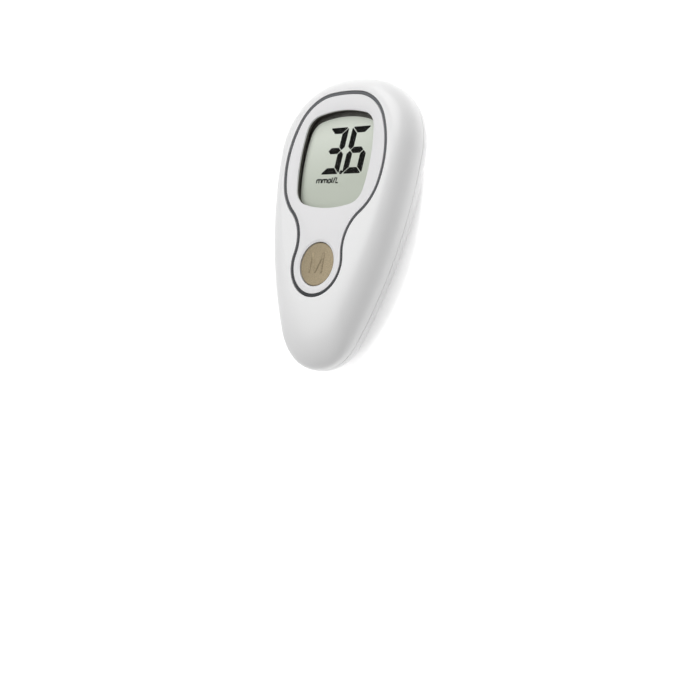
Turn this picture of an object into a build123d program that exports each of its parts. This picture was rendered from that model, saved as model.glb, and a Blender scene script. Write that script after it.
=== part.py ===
from build123d import *
import os
from math import acos, asin, cos, degrees, pi, sin, sqrt

# Blood glucose meter, lying on its back. Millimetres.
# +Z comes out of the display, +Y runs towards the display end, X is across.
# The origin is the middle of the back, on the surface that the meter rests on.

# Case
case_length = 88.0
case_width = 52.0
case_height = 13.5
end_radius = 38.0            # end arc beyond the display
corner_radius = 22.4         # corners beside the display
tip_radius = 14.7            # narrow end
belt_height = 6.3            # widest outline
parting_height = 5.3         # where the two covers meet
back_round_inset = 5.0       # how far the back edge rounds in
back_round_height = 5.0      # and how far up it starts
side_wall = 1.7
front_wall = 2.2
back_wall = 1.8
lip_height = 1.0             # tongue of the rear cover inside the front one
lip_thickness = 0.7
seam_gap = 0.15              # shadow line between the covers
fit_gap = 0.05               # between pieces that are laid or glued into a seat
slide_gap = 0.15             # round pieces that move
bite = 0.3                   # how far a rib or boss reaches into the wall that carries it

# Display window: a rounded square with bulging sides
window_from_end = 26.1       # its centre, below the case's display end
window_width = 28.2
window_height = 29.6
window_side_radius = 48.8
window_end_radius = 35.8
window_corner_radius = 5.6

# Memory button
button_from_window = 31.5    # its centre, below the window's
button_radius = 6.45
button_hole_gap = 0.2
button_travel = 0.5
button_sink = 0.3            # rim of the cap below the faceplate
button_crown = 0.25          # rise of the cap's middle over its rim
button_bevel = 0.2           # round the cap's rim
flange_width = 0.9
flange_thickness = 1.0
cap_wall = 1.3
plunger_radius = 1.5
letter_height = 5.5
letter_width = 4.7
letter_stroke = 0.7
letter_relief = 0.15
letter_rise = 0.4            # its middle above the button's

# Keyhole-shaped faceplate and its trim ring
lobe_side_margin = 5.75      # from the window to the ring's outer edge
lobe_end_margin = 5.8
lobe_side_radius = 30.05
lobe_end_radius = 49.75
lobe_corner_radius = 14.65
lobe_foot_radius = 27.75
lobe_foot_corner_radius = 15.75
lobe_foot_drop = 5.75        # from the window's lower end to the lobe's own
lobe_widest_drop = 0.9       # widest place below the window's middle
land_radius = 10.2           # round land about the button
land_rise = 0.25             # its centre above the button's
waist_radius = 12.2
ring_width = 1.1
ring_thickness = 0.7
ring_sink = 0.2              # top of the ring below the case face
ring_round = 0.4
faceplate_thickness = 0.5
faceplate_sink = 0.1
dish_width = 0.75            # shallow dish round the button hole
dish_depth = 0.2
crown_margin = 0.65          # flat of the case outside the ring
crown_foot_margin = 1.0      # and at the land's foot
crown_end_radius = 34.0
crown_corner_radius = 17.0
crown_tip_radius = 11.1

# Display stack
bezel_wall = 0.9
lens_thickness = 0.8
lens_border = 1.9
glass_thickness = 0.65
glass_border = 0.8
contact_ledge = 2.6          # front glass beyond the rear glass, over the elastomer strip
segment_thickness = 0.03
reflector_thickness = 0.1
frame_wall = 1.0
frame_floor = 1.65           # of the tray, between the reflector and the board
frame_round = 2.0
frame_rise = 0.9             # frame wall beside the glass
zebra_width = 1.7
digit_height = 14.1
digit_width = 7.5
digit_pitch = 8.8
digit_stroke = 2.0
digit_slant = 0.09           # sideways lean per unit of height
digit_break = 0.13           # half of the gap between two segments
digits_right = 1.9           # middle of the reading, from the window's centre
digits_up = 3.05
point_radius = 0.6

# Main board
board_inset = 6.0
board_thickness = 1.0
dome_radius = 3.2
dome_foot = 0.12             # foot ring of the snap dome
dome_foot_width = 0.4
buzzer_radius = 4.5
buzzer_height = 2.0
part_gap = 0.5               # between parts that stand side by side on the board
sound_hole_radius = 0.5
sound_hole_pitch = 2.2
lead_reach = 0.8             # chip leads beyond the body
lead_width = 0.3
lead_thickness = 0.25
chip_standoff = 0.1
# Chips: x, distance below the window's centre, width, length, height and pitch of the leads
microcontroller = (-13.5, 4.9, 6.0, 7.0, 1.3, 0.65)
measurement_amplifier = (13.5, 3.9, 4.0, 5.0, 1.2, 0.65)
memory_chip = (14.0, 12.4, 3.9, 4.9, 1.2, 1.2)
clock_crystal = (-13.5, 12.4, 2.0, 4.8, 1.0, 0.0)
passive_size = (1.6, 0.9, 0.6)
passive_count = 4            # in each of two rows
passive_pitch = 2.4
passive_from_well = 4.4
passive_from_cell = 5.8      # first of a row, above the cell's middle

# Screws
case_screw_up = 2.1          # side screws, above the window's centre
case_screw_bite = 6.6        # thread above the seat of the head
case_screw_tip_gap = 0.3     # bore beyond the screw's end
case_boss_radius = 2.4
case_screw_radius = 0.95
case_head_radius = 1.85
case_head_height = 1.3
case_head_seat = 3.0
board_screw_from_cell = 4.4  # side screws, above the cell's middle
board_boss_radius = 1.7
board_screw_radius = 0.75
board_head_radius = 1.4
board_head_height = 0.8
screw_slot_width = 0.45
screw_slot_share = 1.2       # cross recess, in head radii
screw_slot_depth = 0.55

# Battery and its door
cell_radius = 10.0
cell_height = 3.2
cell_from_window = 24.9      # its middle, below the window's centre
cell_gap = 0.4               # round the cell
cell_lift = 0.2              # over the door
well_wall = 1.0
well_notch_width = 4.8       # for the positive contact
cell_cap_inset = 1.3         # negative cap, inside the can's rim
cell_cap_height = 0.5
cell_round = 0.4
door_side_margin = 0.5       # beside the cell
door_end_margin = 2.5
door_corner_radius = 2.0
door_grip_count = 4
door_grip_pitch = 1.1
door_grip_width = 8.0
door_grip_groove = 0.45
door_grip_depth = 0.25
door_grip_start = 2.2        # first groove, from the door's edge
hinge_pin_radius = 0.5
hinge_pin_length = 1.1
hinge_gap = 0.06             # radial, in the bore
snap_width = 6.0
snap_height = 1.8
snap_thickness = 0.6
snap_setback = 0.1           # from the door's edge
contact_strip = 0.2          # thickness of all contact springs
battery_contact_width = 3.0
contact_bend = 0.4

# Strip port, strip connector and ejector
strip_channel_width = 8.0
strip_channel_height = 1.0
strip_channel_drop = 1.4     # floor of the channel, below the board
port_margin_x = 2.0
port_margin_z = 1.0
port_depth = 2.2
port_flare = 0.5
port_flare_depth = 1.6
port_edge_radius = 0.3
connector_length = 12.0
connector_wall = 1.5
connector_floor = 0.8
contact_count = 4
contact_pitch = 1.7
contact_width = 0.7
finger_from_end = 5.6        # root of the fingers, from the connector's outer end
finger_rest = 0.5            # lowest point of a finger above the channel floor
ejector_travel = 5.5
pad_width = 8.6
pad_length = 6.0
pad_from_connector = 18.25   # its edge, below the connector's inner end
pad_sink = 0.3
recess_margin = 1.5          # thumb recess round the pad's slot
recess_radius = 2.0
grip_rise = 0.2
grip_width = 0.6
grip_margin = 0.8            # from the ends of the ridges to the pad's sides
grip_count = 4
sledge_width = 13.0
sledge_length = 12.0
sledge_thickness = 0.8
post_setback = 1.0           # behind the sledge's front edge
post_length = 3.0
post_width = 4.4
tongue_width = 3.8
tongue_height = 0.7
tongue_reach = 0.7           # tip inside the connector at rest
rail_wall = 1.0
rail_lip = 0.7               # cap of the rail over the sledge
rail_lip_thickness = 0.7
spring_wire = 0.15           # wire radius
spring_radius = 0.6
spring_turns = 6
stop_width = 3.2
stop_thickness = 1.2
stop_margin = 1.0            # from the sledge at full travel

# Worked out from the sizes above: heights
ceiling = case_height - front_wall
face_top = case_height - faceplate_sink
face_bottom = face_top - faceplate_thickness
ring_top = case_height - ring_sink
lens_bottom = ceiling
lens_top = lens_bottom + lens_thickness
glass_top = ceiling - segment_thickness - fit_gap / 2
front_glass_bottom = glass_top - glass_thickness
rear_glass_bottom = front_glass_bottom - glass_thickness
reflector_bottom = rear_glass_bottom - reflector_thickness
board_top = reflector_bottom - frame_floor
board_bottom = board_top - board_thickness
dome_height = dome_foot + button_travel
case_screw_top = case_head_seat + case_screw_bite
hinge_z = back_wall / 2
cell_bottom = back_wall + cell_lift
cell_top = cell_bottom + cell_height
strip_channel_floor = board_bottom - strip_channel_drop
channel_top = strip_channel_floor + strip_channel_height
sledge_bottom = back_wall + slide_gap
sledge_top = sledge_bottom + sledge_thickness
spring_z = sledge_top + slide_gap + spring_radius + spring_wire
tongue_bottom = strip_channel_floor + slide_gap

# Display and button
window_centre_y = case_length / 2 - window_from_end
window_top = window_centre_y + window_height / 2
window_bottom = window_centre_y - window_height / 2
digits_x = digits_right
digits_y = window_centre_y + digits_up
button_y = window_centre_y - button_from_window
land_y = button_y + land_rise
lobe_half_width = window_width / 2 + lobe_side_margin
lobe_top = window_top + lobe_end_margin
crown_bottom = land_y - land_radius - crown_foot_margin
glass_half_width = window_width / 2 + glass_border
glass_high_y = window_top + glass_border
glass_low_y = window_bottom - glass_border - contact_ledge / 2

# Battery, its door and the parts beside it
cell_y = window_centre_y - cell_from_window
well_radius = cell_radius + cell_gap
well_outer = well_radius + well_wall
door_width = 2 * (cell_radius + door_side_margin)
door_length = 2 * (cell_radius + door_end_margin)
door_high_y = cell_y + door_length / 2
door_low_y = cell_y - door_length / 2
hinge_y = door_high_y - slide_gap - back_wall / 2
buzzer_y = cell_y - well_outer - part_gap - buzzer_radius
board_screw_y = cell_y + board_screw_from_cell
board_screw_x = well_outer + board_head_radius
low_screw_x = buzzer_radius + part_gap + board_head_radius
board_screw_places = [(-board_screw_x, board_screw_y), (board_screw_x, board_screw_y),
                      (-low_screw_x, buzzer_y), (low_screw_x, buzzer_y)]
case_screw_x = glass_half_width + frame_wall + part_gap + case_boss_radius
case_screw_y = window_centre_y + case_screw_up
tip_screw_y = buzzer_y - buzzer_radius - part_gap - case_boss_radius - slide_gap
case_screw_places = [(-case_screw_x, case_screw_y), (case_screw_x, case_screw_y), (0, tip_screw_y)]

# Strip port, connector and ejector
port_outer_y = case_length / 2
port_inner_y = port_outer_y - port_depth
connector_high_y = port_inner_y - fit_gap
connector_low_y = connector_high_y - connector_length
pad_start_y = connector_low_y - pad_from_connector
sledge_low_y = pad_start_y - (sledge_length - pad_length) / 4
sledge_high_y = sledge_low_y + sledge_length
post_low_y = sledge_high_y - post_length - post_setback
post_high_y = post_low_y + post_length
stop_low_y = sledge_high_y + ejector_travel + stop_margin

dome_steps = 7               # sections that carry a quarter ellipse

case_outline = (case_length / 2, -case_length / 2, case_width / 2, end_radius, corner_radius, tip_radius)
crown_outline = (lobe_top + crown_margin, crown_bottom, lobe_half_width + crown_margin,
                 crown_end_radius, crown_corner_radius, crown_tip_radius)


def touch(first, second):
    """Point where two tangent circles, each (centre, radius), meet."""
    big, small = (first, second) if first[1] >= second[1] else (second, first)
    along = small[0] - big[0]
    return big[0] + along * (big[1] / along.length)


def meet(first, first_reach, second, second_reach):
    """Right-hand point that lies at the stated distances from two points."""
    line = second - first
    span = line.length
    along = (first_reach**2 - second_reach**2 + span**2) / (2 * span)
    off = sqrt(first_reach**2 - along**2)
    side = Vector(line.Y, -line.X) / span
    base = first + line * (along / span)
    return max(base + side * off, base - side * off, key=lambda point: point.X)


def mirrored_face(circles):
    """Closed face of tangent arcs. The circles run down the right side, from the axis to the axis."""
    joints = [touch(a, b) for a, b in zip(circles, circles[1:])]
    arcs = []
    for (centre, radius), start, end in zip(circles[1:-1], joints, joints[1:]):
        outwards = (start - centre) + (end - centre)
        middle = centre + outwards * (radius / outwards.length)
        arcs.append(ThreePointArc(start, middle, end))
    flipped = [arc.mirror(Plane.YZ) for arc in reversed(arcs)]
    (head, head_r), (foot, foot_r) = circles[0], circles[-1]
    left_head, left_foot = (Vector(-p.X, p.Y) for p in (joints[0], joints[-1]))
    top_arc = ThreePointArc(left_head, head + Vector(0, head_r), joints[0])
    foot_arc = ThreePointArc(joints[-1], foot - Vector(0, foot_r), left_foot)
    return Face(Wire([top_arc, *arcs, foot_arc, *flipped]))


def egg(outline):
    """Egg-shaped face of six tangent arcs, its wide end towards +Y."""
    top, bottom, half_width, end_r, corner_r, tip_r = outline
    lean = acos((half_width - corner_r) / (end_r - corner_r))
    widest = top - end_r + (end_r - corner_r) * sin(lean)
    drop = widest - bottom - tip_r
    side_r = (half_width**2 + drop**2 - tip_r**2) / (2 * (half_width - tip_r))
    return mirrored_face([
        (Vector(0, top - end_r), end_r),
        (Vector(half_width - corner_r, widest), corner_r),
        (Vector(half_width - side_r, widest), side_r),
        (Vector(0, bottom + tip_r), tip_r),
    ])


def inset(outline, amount):
    """The same egg, smaller all round by amount."""
    top, bottom, half_width, end_r, corner_r, tip_r = outline
    return (top - amount, bottom + amount, half_width - amount,
            end_r - amount, corner_r - amount, tip_r - amount)


def between(outer, inner, share):
    """Outline part of the way from outer to inner."""
    return tuple(a + (b - a) * share for a, b in zip(outer, inner))


def dome(outer, crown, base_z, rise):
    """Solid whose flank is a quarter ellipse from outer, at base_z, to crown, rise away."""
    angles = [pi / 2 * step / dome_steps for step in range(dome_steps + 1)]
    outlines = [between(outer, crown, 1 - cos(angle)) for angle in angles]
    heights = [base_z + rise * sin(angle) for angle in angles]
    return loft([Pos(0, 0, z) * egg(outline) for z, outline in zip(heights, outlines)])


def slab(sketch, low, high):
    """Sketch extruded between two heights."""
    return Pos(0, 0, low) * extrude(sketch, amount=high - low, dir=(0, 0, 1))


def block(x_low, x_high, y_low, y_high, z_low, z_high):
    """Box between stated limits."""
    size = (x_high - x_low, y_high - y_low, z_high - z_low)
    return Pos((x_low + x_high) / 2, (y_low + y_high) / 2, (z_low + z_high) / 2) * Box(*size)


def post(place, radius, low, high):
    """Upright cylinder at place, between two heights."""
    return Pos(place[0], place[1], (low + high) / 2) * Cylinder(radius, high - low)


def rounded_corner(end, side, corner_r):
    """Circle of radius corner_r inside both the end circle and the side circle."""
    return meet(end[0], end[1] - corner_r, side[0], side[1] - corner_r), corner_r


def window(grow=0.0):
    """Display window, a rounded square whose sides bulge, grown all round."""
    radii = (window_end_radius, window_side_radius, window_corner_radius)
    end_r, side_r, corner_r = (radius + grow for radius in radii)
    head = (Vector(0, window_top + grow - end_r), end_r)
    foot = (Vector(0, window_bottom - grow + end_r), end_r)
    side = (Vector(window_width / 2 + grow - side_r, window_centre_y), side_r)
    return mirrored_face([head, rounded_corner(head, side, corner_r), side,
                          rounded_corner(foot, side, corner_r), foot])


def keyhole(grow=0.0):
    """Trim ring's outline, grown all round: a lobe round the window, a waist and a round land."""
    end_r, side_r, foot_r = (r + grow for r in (lobe_end_radius, lobe_side_radius, lobe_foot_radius))
    head = (Vector(0, lobe_top + grow - end_r), end_r)
    foot = (Vector(0, window_bottom - lobe_foot_drop - grow + foot_r), foot_r)
    side = (Vector(lobe_half_width + grow - side_r, window_centre_y - lobe_widest_drop), side_r)
    shoulder = rounded_corner(head, side, lobe_corner_radius + grow)
    hip = rounded_corner(foot, side, lobe_foot_corner_radius + grow)
    land = (Vector(0, land_y), land_radius + grow)
    waist_r = waist_radius - grow
    waist = (meet(land[0], land[1] + waist_r, hip[0], hip[1] + waist_r), waist_r)
    return mirrored_face([head, shoulder, side, hip, waist, land])


def front_cover():
    """Front shell: domed flank, keyhole seat, window, button hole, bosses and strip port cut-out."""
    body = dome(case_outline, crown_outline, belt_height, case_height - belt_height)
    body += slab(egg(case_outline), parting_height, belt_height)
    inner = inset(case_outline, side_wall)
    cavity = dome(inner, crown_outline, belt_height, ceiling - belt_height)
    cavity += slab(egg(inner), parting_height, belt_height)
    bosses = [post(p, case_boss_radius, parting_height, ceiling + bite) for p in case_screw_places]
    bosses += [post(p, board_boss_radius, board_top, ceiling + bite) for p in board_screw_places]
    cover = body - cavity
    cover += [b & body for b in bosses]
    lip_seat = (slab(egg(inset(case_outline, side_wall - lip_thickness - fit_gap)),
                     parting_height, parting_height + lip_height + fit_gap))
    cover -= lip_seat - [post(p, case_boss_radius, parting_height, ceiling) for p in case_screw_places]
    cover -= slab(keyhole(), face_bottom, case_height)
    cover -= slab(keyhole() - keyhole(-ring_width), ring_top - ring_thickness, case_height)
    cover -= slab(window(bezel_wall + fit_gap), board_top, case_height)
    cover -= slab(window(lens_border + fit_gap), board_top, lens_top)
    cover -= post((0, button_y), button_radius + button_hole_gap, board_top, case_height)
    for place in case_screw_places:
        cover -= post(place, case_screw_radius + fit_gap, 0, case_screw_top + case_screw_tip_gap)
    for place in board_screw_places:
        cover -= post(place, board_screw_radius + fit_gap, board_top, ceiling)
    return cover - port_opening()


def port_opening():
    """Room for the strip port's mouth in both covers."""
    half = strip_channel_width / 2 + port_margin_x + fit_gap
    return block(-half, half, port_inner_y, case_length,
                 strip_channel_floor - port_margin_z - fit_gap, channel_top + port_margin_z + fit_gap)


def back_shell():
    """Outside of the rear cover: a straight band over a rounded back edge."""
    round_top = back_round_height
    lower = dome(case_outline, inset(case_outline, back_round_inset), round_top, -round_top)
    return lower + slab(egg(case_outline), round_top, parting_height)


def rear_cover():
    """Rear shell: battery bay with hinge bores, ejector slot and rails, screw tubes and lip."""
    shell = back_shell()
    inner = inset(case_outline, side_wall)
    cavity = dome(inner, inset(case_outline, back_round_inset), back_round_height,
                  back_wall - back_round_height)
    cavity += slab(egg(inner), back_round_height, parting_height)
    cover = shell - cavity
    seam = slab(egg(case_outline), parting_height - seam_gap, parting_height)
    cover -= seam - slab(egg(inset(case_outline, seam_gap)), 0, case_height)
    lip = egg(inset(case_outline, side_wall - lip_thickness)) - egg(inner)
    cover += slab(lip, parting_height, parting_height + lip_height)
    for place in case_screw_places:
        cover += post(place, case_boss_radius + slide_gap, back_wall - bite, parting_height) & shell
    cover += battery_well() + ejector_rails()
    cover -= door_opening() + slider_slot()
    for x, y in case_screw_places:
        cover -= post((x, y), case_head_radius + slide_gap, 0, case_head_seat)
        cover -= post((x, y), case_screw_radius + slide_gap, 0, parting_height)
    for side in (-1, 0, 1):
        cover -= post((side * sound_hole_pitch, buzzer_y), sound_hole_radius, 0, back_wall)
    return cover - port_opening()


def battery_well():
    """Round wall that holds the coin cell and carries the board."""
    ring = post((0, cell_y), well_outer, back_wall - bite, board_bottom - fit_gap)
    ring -= post((0, cell_y), well_radius, 0, board_bottom)
    half = well_notch_width / 2
    notch_bottom = cell_bottom + cell_round
    return ring - block(0, 2 * well_outer, cell_y - half, cell_y + half, notch_bottom, board_bottom)


def door_opening():
    """Opening for the battery door, with the two hinge bores."""
    plan = Pos(0, cell_y) * Rectangle(door_width, door_length)
    plan = fillet(plan.vertices().sort_by(Axis.Y)[:2], door_corner_radius)
    opening = slab(plan, 0, cell_bottom)
    bore = Cylinder(hinge_pin_radius + hinge_gap, door_width + 2 * hinge_pin_length)
    return opening + Pos(0, hinge_y, hinge_z) * Rot(0, 90, 0) * bore


def battery_door():
    """Hinged door: a plate with a rounded hinge edge, two pins, a snap tab and grip ridges."""
    half = door_width / 2 - slide_gap
    low_y = door_low_y + slide_gap
    plan = Pos(0, (low_y + hinge_y) / 2) * Rectangle(2 * half, hinge_y - low_y)
    plan = fillet(plan.vertices().sort_by(Axis.Y)[:2], door_corner_radius - slide_gap)
    door = slab(plan, 0, back_wall)
    across = Pos(0, hinge_y, hinge_z) * Rot(0, 90, 0)
    door += across * Cylinder(back_wall / 2, 2 * half)
    door += across * Cylinder(hinge_pin_radius, 2 * (half + hinge_pin_length - slide_gap / 2))
    tab_y = low_y + snap_setback
    door += block(-snap_width / 2, snap_width / 2, tab_y, tab_y + snap_thickness,
                  back_wall - bite, back_wall + snap_height)
    for groove in range(door_grip_count):
        y = low_y + door_grip_start + door_grip_pitch * groove
        door -= block(-door_grip_width / 2, door_grip_width / 2, y, y + door_grip_groove,
                      0, door_grip_depth)
    return door


def slider_slot():
    """Slot for the ejector's thumb pad, inside a shallow thumb recess."""
    half = pad_width / 2 + slide_gap
    low_y = pad_start_y - slide_gap
    high_y = pad_start_y + pad_length + ejector_travel + slide_gap
    slot = block(-half, half, low_y, high_y, 0, back_wall)
    width, length = (size + 2 * recess_margin for size in (2 * half, high_y - low_y))
    recess = Pos(0, (low_y + high_y) / 2) * RectangleRounded(width, length, recess_radius)
    return slot + slab(recess, 0, pad_sink)


def ejector_rails():
    """Two guide rails for the sledge and the stop that its spring pushes on."""
    inner = sledge_width / 2 + slide_gap
    outer = inner + rail_wall
    ends = (sledge_low_y, sledge_high_y + ejector_travel)
    lip_z = sledge_top + slide_gap
    rails = []
    for side in (-1, 1):
        wall = sorted((side * inner, side * outer))
        lip = sorted((side * (inner - rail_lip), side * outer))
        rails.append(block(*wall, *ends, back_wall - bite, lip_z))
        rails.append(block(*lip, *ends, lip_z, lip_z + rail_lip_thickness))
    rails.append(block(-stop_width / 2, stop_width / 2, stop_low_y, stop_low_y + stop_thickness,
                       back_wall - bite, spring_z + spring_radius))
    return rails[0] + rails[1:]


def ejector_slider():
    """Sledge with a ribbed thumb pad outside and a post and tongue inside."""
    half = pad_width / 2
    tongue_top = tongue_bottom + tongue_height
    slider = block(-sledge_width / 2, sledge_width / 2, sledge_low_y, sledge_high_y,
                   sledge_bottom, sledge_top)
    slider += block(-half, half, pad_start_y, pad_start_y + pad_length, pad_sink, sledge_bottom)
    slider += block(-post_width / 2, post_width / 2, post_low_y, post_high_y, sledge_top, tongue_top)
    slider += block(-tongue_width / 2, tongue_width / 2, post_low_y, connector_low_y + tongue_reach,
                    tongue_bottom, tongue_top)
    step = pad_length / (grip_count + 1)
    ridge_x = half - grip_margin
    for ridge in range(grip_count):
        low_y = pad_start_y + step * (ridge + 1) - grip_width / 2
        slider += block(-ridge_x, ridge_x, low_y, low_y + grip_width, pad_sink - grip_rise, back_wall)
    return slider


def ejector_spring():
    """Return spring between the ejector's post and the stop."""
    low_y = post_high_y + fit_gap + spring_wire
    length = stop_low_y - fit_gap - spring_wire - low_y
    path = Helix(length / spring_turns, length, spring_radius)
    wire = sweep(Plane(origin=path @ 0, z_dir=path % 0) * Circle(spring_wire), path=path)
    return Pos(0, low_y, spring_z) * Rot(-90, 0, 0) * wire


def trim_ring():
    """Keyhole-shaped bead in its channel round the faceplate."""
    ring = slab(keyhole(-fit_gap) - keyhole(fit_gap - ring_width), ring_top - ring_thickness, ring_top)
    return fillet(ring.edges().filter_by(lambda e: e.center().Z > ring_top - 0.01), ring_round)


def faceplate():
    """Thin keyhole-shaped plate with the window and a dished button hole."""
    plate = slab(keyhole(-ring_width) - window(), face_bottom, face_top)
    hole = button_radius + button_hole_gap
    dish = Pos(0, button_y, face_top - dish_depth / 2) * Cone(hole, hole + dish_width, dish_depth)
    return plate - post((0, button_y), hole, face_bottom, face_top) - dish


def display_bezel():
    """Dark frame that lines the window between the faceplate and the lens."""
    return slab(window(bezel_wall) - window(), lens_top, face_bottom)


def display_lens():
    """Clear plate seated in the front cover from inside."""
    return slab(window(lens_border), lens_bottom + fit_gap / 4, lens_top)


def digit(segments, centre_x):
    """Lit segments of one digit, as thin leaning solids."""
    w, h, s, g = digit_width / 2, digit_height / 2, digit_stroke, digit_break
    half = s / 2
    outlines = {
        "top": [(-w + 2 * g, h), (w - 2 * g, h), (w - s - g, h - s), (-w + s + g, h - s)],
        "bottom": [(-w + 2 * g, -h), (w - 2 * g, -h), (w - s - g, -h + s), (-w + s + g, -h + s)],
        "middle": [(-w + g + half, 0), (-w + g + s, half), (w - g - s, half),
                   (w - g - half, 0), (w - g - s, -half), (-w + g + s, -half)],
    }
    side = [(w, h - 2 * g), (w - s, h - s - 2 * g), (w - s, half + g), (w - half, g), (w, half)]
    for name, flip_x, flip_y in (("upper right", 1, 1), ("lower right", 1, -1),
                                 ("upper left", -1, 1), ("lower left", -1, -1)):
        outlines[name] = [(x * flip_x, y * flip_y) for x, y in side]
    solids = []
    for name in segments:
        points = [(centre_x + x + digit_slant * y, digits_y + y) for x, y in outlines[name]]
        outline = make_face(Polyline(*points, close=True))
        solids.append(slab(outline, glass_top, glass_top + segment_thickness))
    return solids


def lcd_segments():
    """The reading 3.6 in leaning seven-segment digits, printed on the front glass."""
    left, right = digits_x - digit_pitch / 2, digits_x + digit_pitch / 2
    solids = digit(["top", "upper right", "middle", "lower right", "bottom"], left)
    solids += digit(["top", "upper left", "middle", "lower left", "lower right", "bottom"], right)
    foot = digits_y - digit_height / 2 + point_radius
    lean = digit_slant * (foot - digits_y)
    solids.append(post((digits_x + lean, foot), point_radius, glass_top, glass_top + segment_thickness))
    return Compound([s.solids()[0] for s in solids])


def lcd_frame():
    """Tray on the board that carries the reflector and both glass plates."""
    reach = glass_half_width + frame_wall
    low_y, high_y = glass_low_y - frame_wall, glass_high_y + frame_wall
    plan = Pos(0, (low_y + high_y) / 2) * RectangleRounded(2 * reach, high_y - low_y, frame_round)
    frame = slab(plan, board_top, front_glass_bottom + frame_rise / 2)
    frame -= block(-glass_half_width - fit_gap, glass_half_width + fit_gap, glass_low_y - fit_gap,
                   glass_high_y + fit_gap, reflector_bottom, case_height)
    hollow = glass_half_width - frame_wall
    frame -= block(-hollow, hollow, glass_low_y + contact_ledge + frame_wall, glass_high_y - frame_wall,
                   board_top, case_height)
    return frame - zebra_block(fit_gap)


def zebra_block(grow):
    """Elastomer strip between the board and the front glass's ledge."""
    middle = glass_low_y + contact_ledge / 2
    half = glass_half_width - 2 * frame_wall
    reach = zebra_width / 2 + grow
    return block(-half - grow, half + grow, middle - reach, middle + reach, board_top, front_glass_bottom)


def main_board():
    """Egg-shaped circuit board with notches for the bosses and holes for its screws."""
    board = slab(egg(inset(case_outline, board_inset)), board_bottom, board_top)
    for place in case_screw_places:
        board -= post(place, case_boss_radius + 2 * slide_gap, board_bottom, board_top)
    for place in board_screw_places:
        board -= post(place, board_screw_radius + slide_gap, board_bottom, board_top)
    return board


def chip(x, drop, width, length, height, lead_pitch):
    """Chip hung under the board, with leads along its two long sides, if it has any."""
    y = window_centre_y - drop
    body = block(x - width / 2, x + width / 2, y - length / 2, y + length / 2,
                 board_bottom - height, board_bottom - (chip_standoff if lead_pitch else 0))
    leads = int(length / lead_pitch) if lead_pitch else 0
    reach = width / 2 + lead_reach
    for lead in range(leads):
        low_y = y + lead_pitch * (lead - (leads - 1) / 2) - lead_width / 2
        body += block(x - reach, x + reach, low_y, low_y + lead_width,
                      board_bottom - lead_thickness, board_bottom)
    return body


def chip_passives():
    """Small resistors and capacitors in two rows under the board."""
    x = well_outer + passive_from_well
    z = board_bottom - passive_size[2] / 2
    parts = []
    for side in (-1, 1):
        for row in range(passive_count):
            y = cell_y + passive_from_cell - passive_pitch * row
            parts.append(Pos(side * x, y, z) * Box(*passive_size))
    return Compound([p.solids()[0] for p in parts])


def dome_switch():
    """Snap dome under the button: a shallow cap on a thin foot ring."""
    foot = post((0, button_y), dome_radius, board_top, board_top + dome_foot)
    middle = Pos(0, button_y, board_top + dome_foot + button_travel / 2)
    return foot + middle * Cone(dome_radius - dome_foot_width, dome_radius / 2, button_travel)


def memory_button():
    """Round cap with a domed top, a raised letter M, a retaining flange and a plunger."""
    rim_z = face_top - button_sink
    dome_r = (button_radius**2 + button_crown**2) / (2 * button_crown)
    ball_z = rim_z + button_crown - dome_r
    bevel_r = button_radius - button_bevel
    bevel_z = ball_z + sqrt(dome_r**2 - bevel_r**2)
    middle_z = ball_z + sqrt(dome_r**2 - (bevel_r / 2)**2)
    flange_r = button_radius + flange_width
    flange_top = ceiling - slide_gap / 2
    flange_bottom = flange_top - flange_thickness
    roof = rim_z - cap_wall
    plunger_bottom = board_top + dome_height + fit_gap
    crown = ThreePointArc((0, rim_z + button_crown), (bevel_r / 2, middle_z), (bevel_r, bevel_z))
    inner_r = button_radius - cap_wall
    rest = Polyline((bevel_r, bevel_z), (button_radius, bevel_z - button_bevel), (button_radius, flange_top),
                    (flange_r, flange_top), (flange_r, flange_bottom), (inner_r, flange_bottom),
                    (inner_r, roof), (plunger_radius, roof), (plunger_radius, plunger_bottom),
                    (0, plunger_bottom), (0, rim_z + button_crown))
    cap = Pos(0, button_y) * revolve(Plane.XZ * make_face([crown, rest]), Axis.Z)
    mark = slab(letter_m(), roof + cap_wall / 2, rim_z + button_crown + letter_relief)
    return cap + (mark & Pos(0, button_y, ball_z + letter_relief) * Sphere(dome_r))


def letter_m():
    """Plain letter M built of four strokes."""
    x, y = letter_width / 2, letter_height / 2
    strokes = [((-x, -y), (-x, y)), ((-x, y), (0, -y)), ((0, -y), (x, y)), ((x, y), (x, -y))]
    shape = None
    for start, end in strokes:
        line = Vector(*end) - Vector(*start)
        middle = (Vector(*end) + Vector(*start)) / 2
        angle = degrees(asin(line.Y / line.length)) if line.X >= 0 else 90
        bar = SlotCenterToCenter(line.length, letter_stroke)
        piece = Pos(middle.X, middle.Y + button_y + letter_rise) * Rot(0, 0, angle) * bar
        shape = piece if shape is None else shape + piece
    return shape


def strip(points, width, radius, across):
    """Bent metal strip of constant width along a path in a plane square to across."""
    path = FilletPolyline(*points, radius=radius)
    section = Plane(origin=path @ 0, x_dir=across, z_dir=path % 0) * Rectangle(width, contact_strip)
    return sweep(section, path=path)


def battery_contact_negative():
    """Leaf spring under the board that presses on the cell's inner face."""
    top = board_bottom - contact_strip / 2
    tip = cell_top + contact_strip / 2
    root, knee, foot, end = (cell_radius * share for share in (0.65, 0.25, -0.3, -0.46))
    points = [(root, cell_y, top), (knee, cell_y, top), (foot, cell_y, tip), (end, cell_y, (tip + top) / 2)]
    return strip(points, battery_contact_width, contact_bend, (0, 1, 0))


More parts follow.
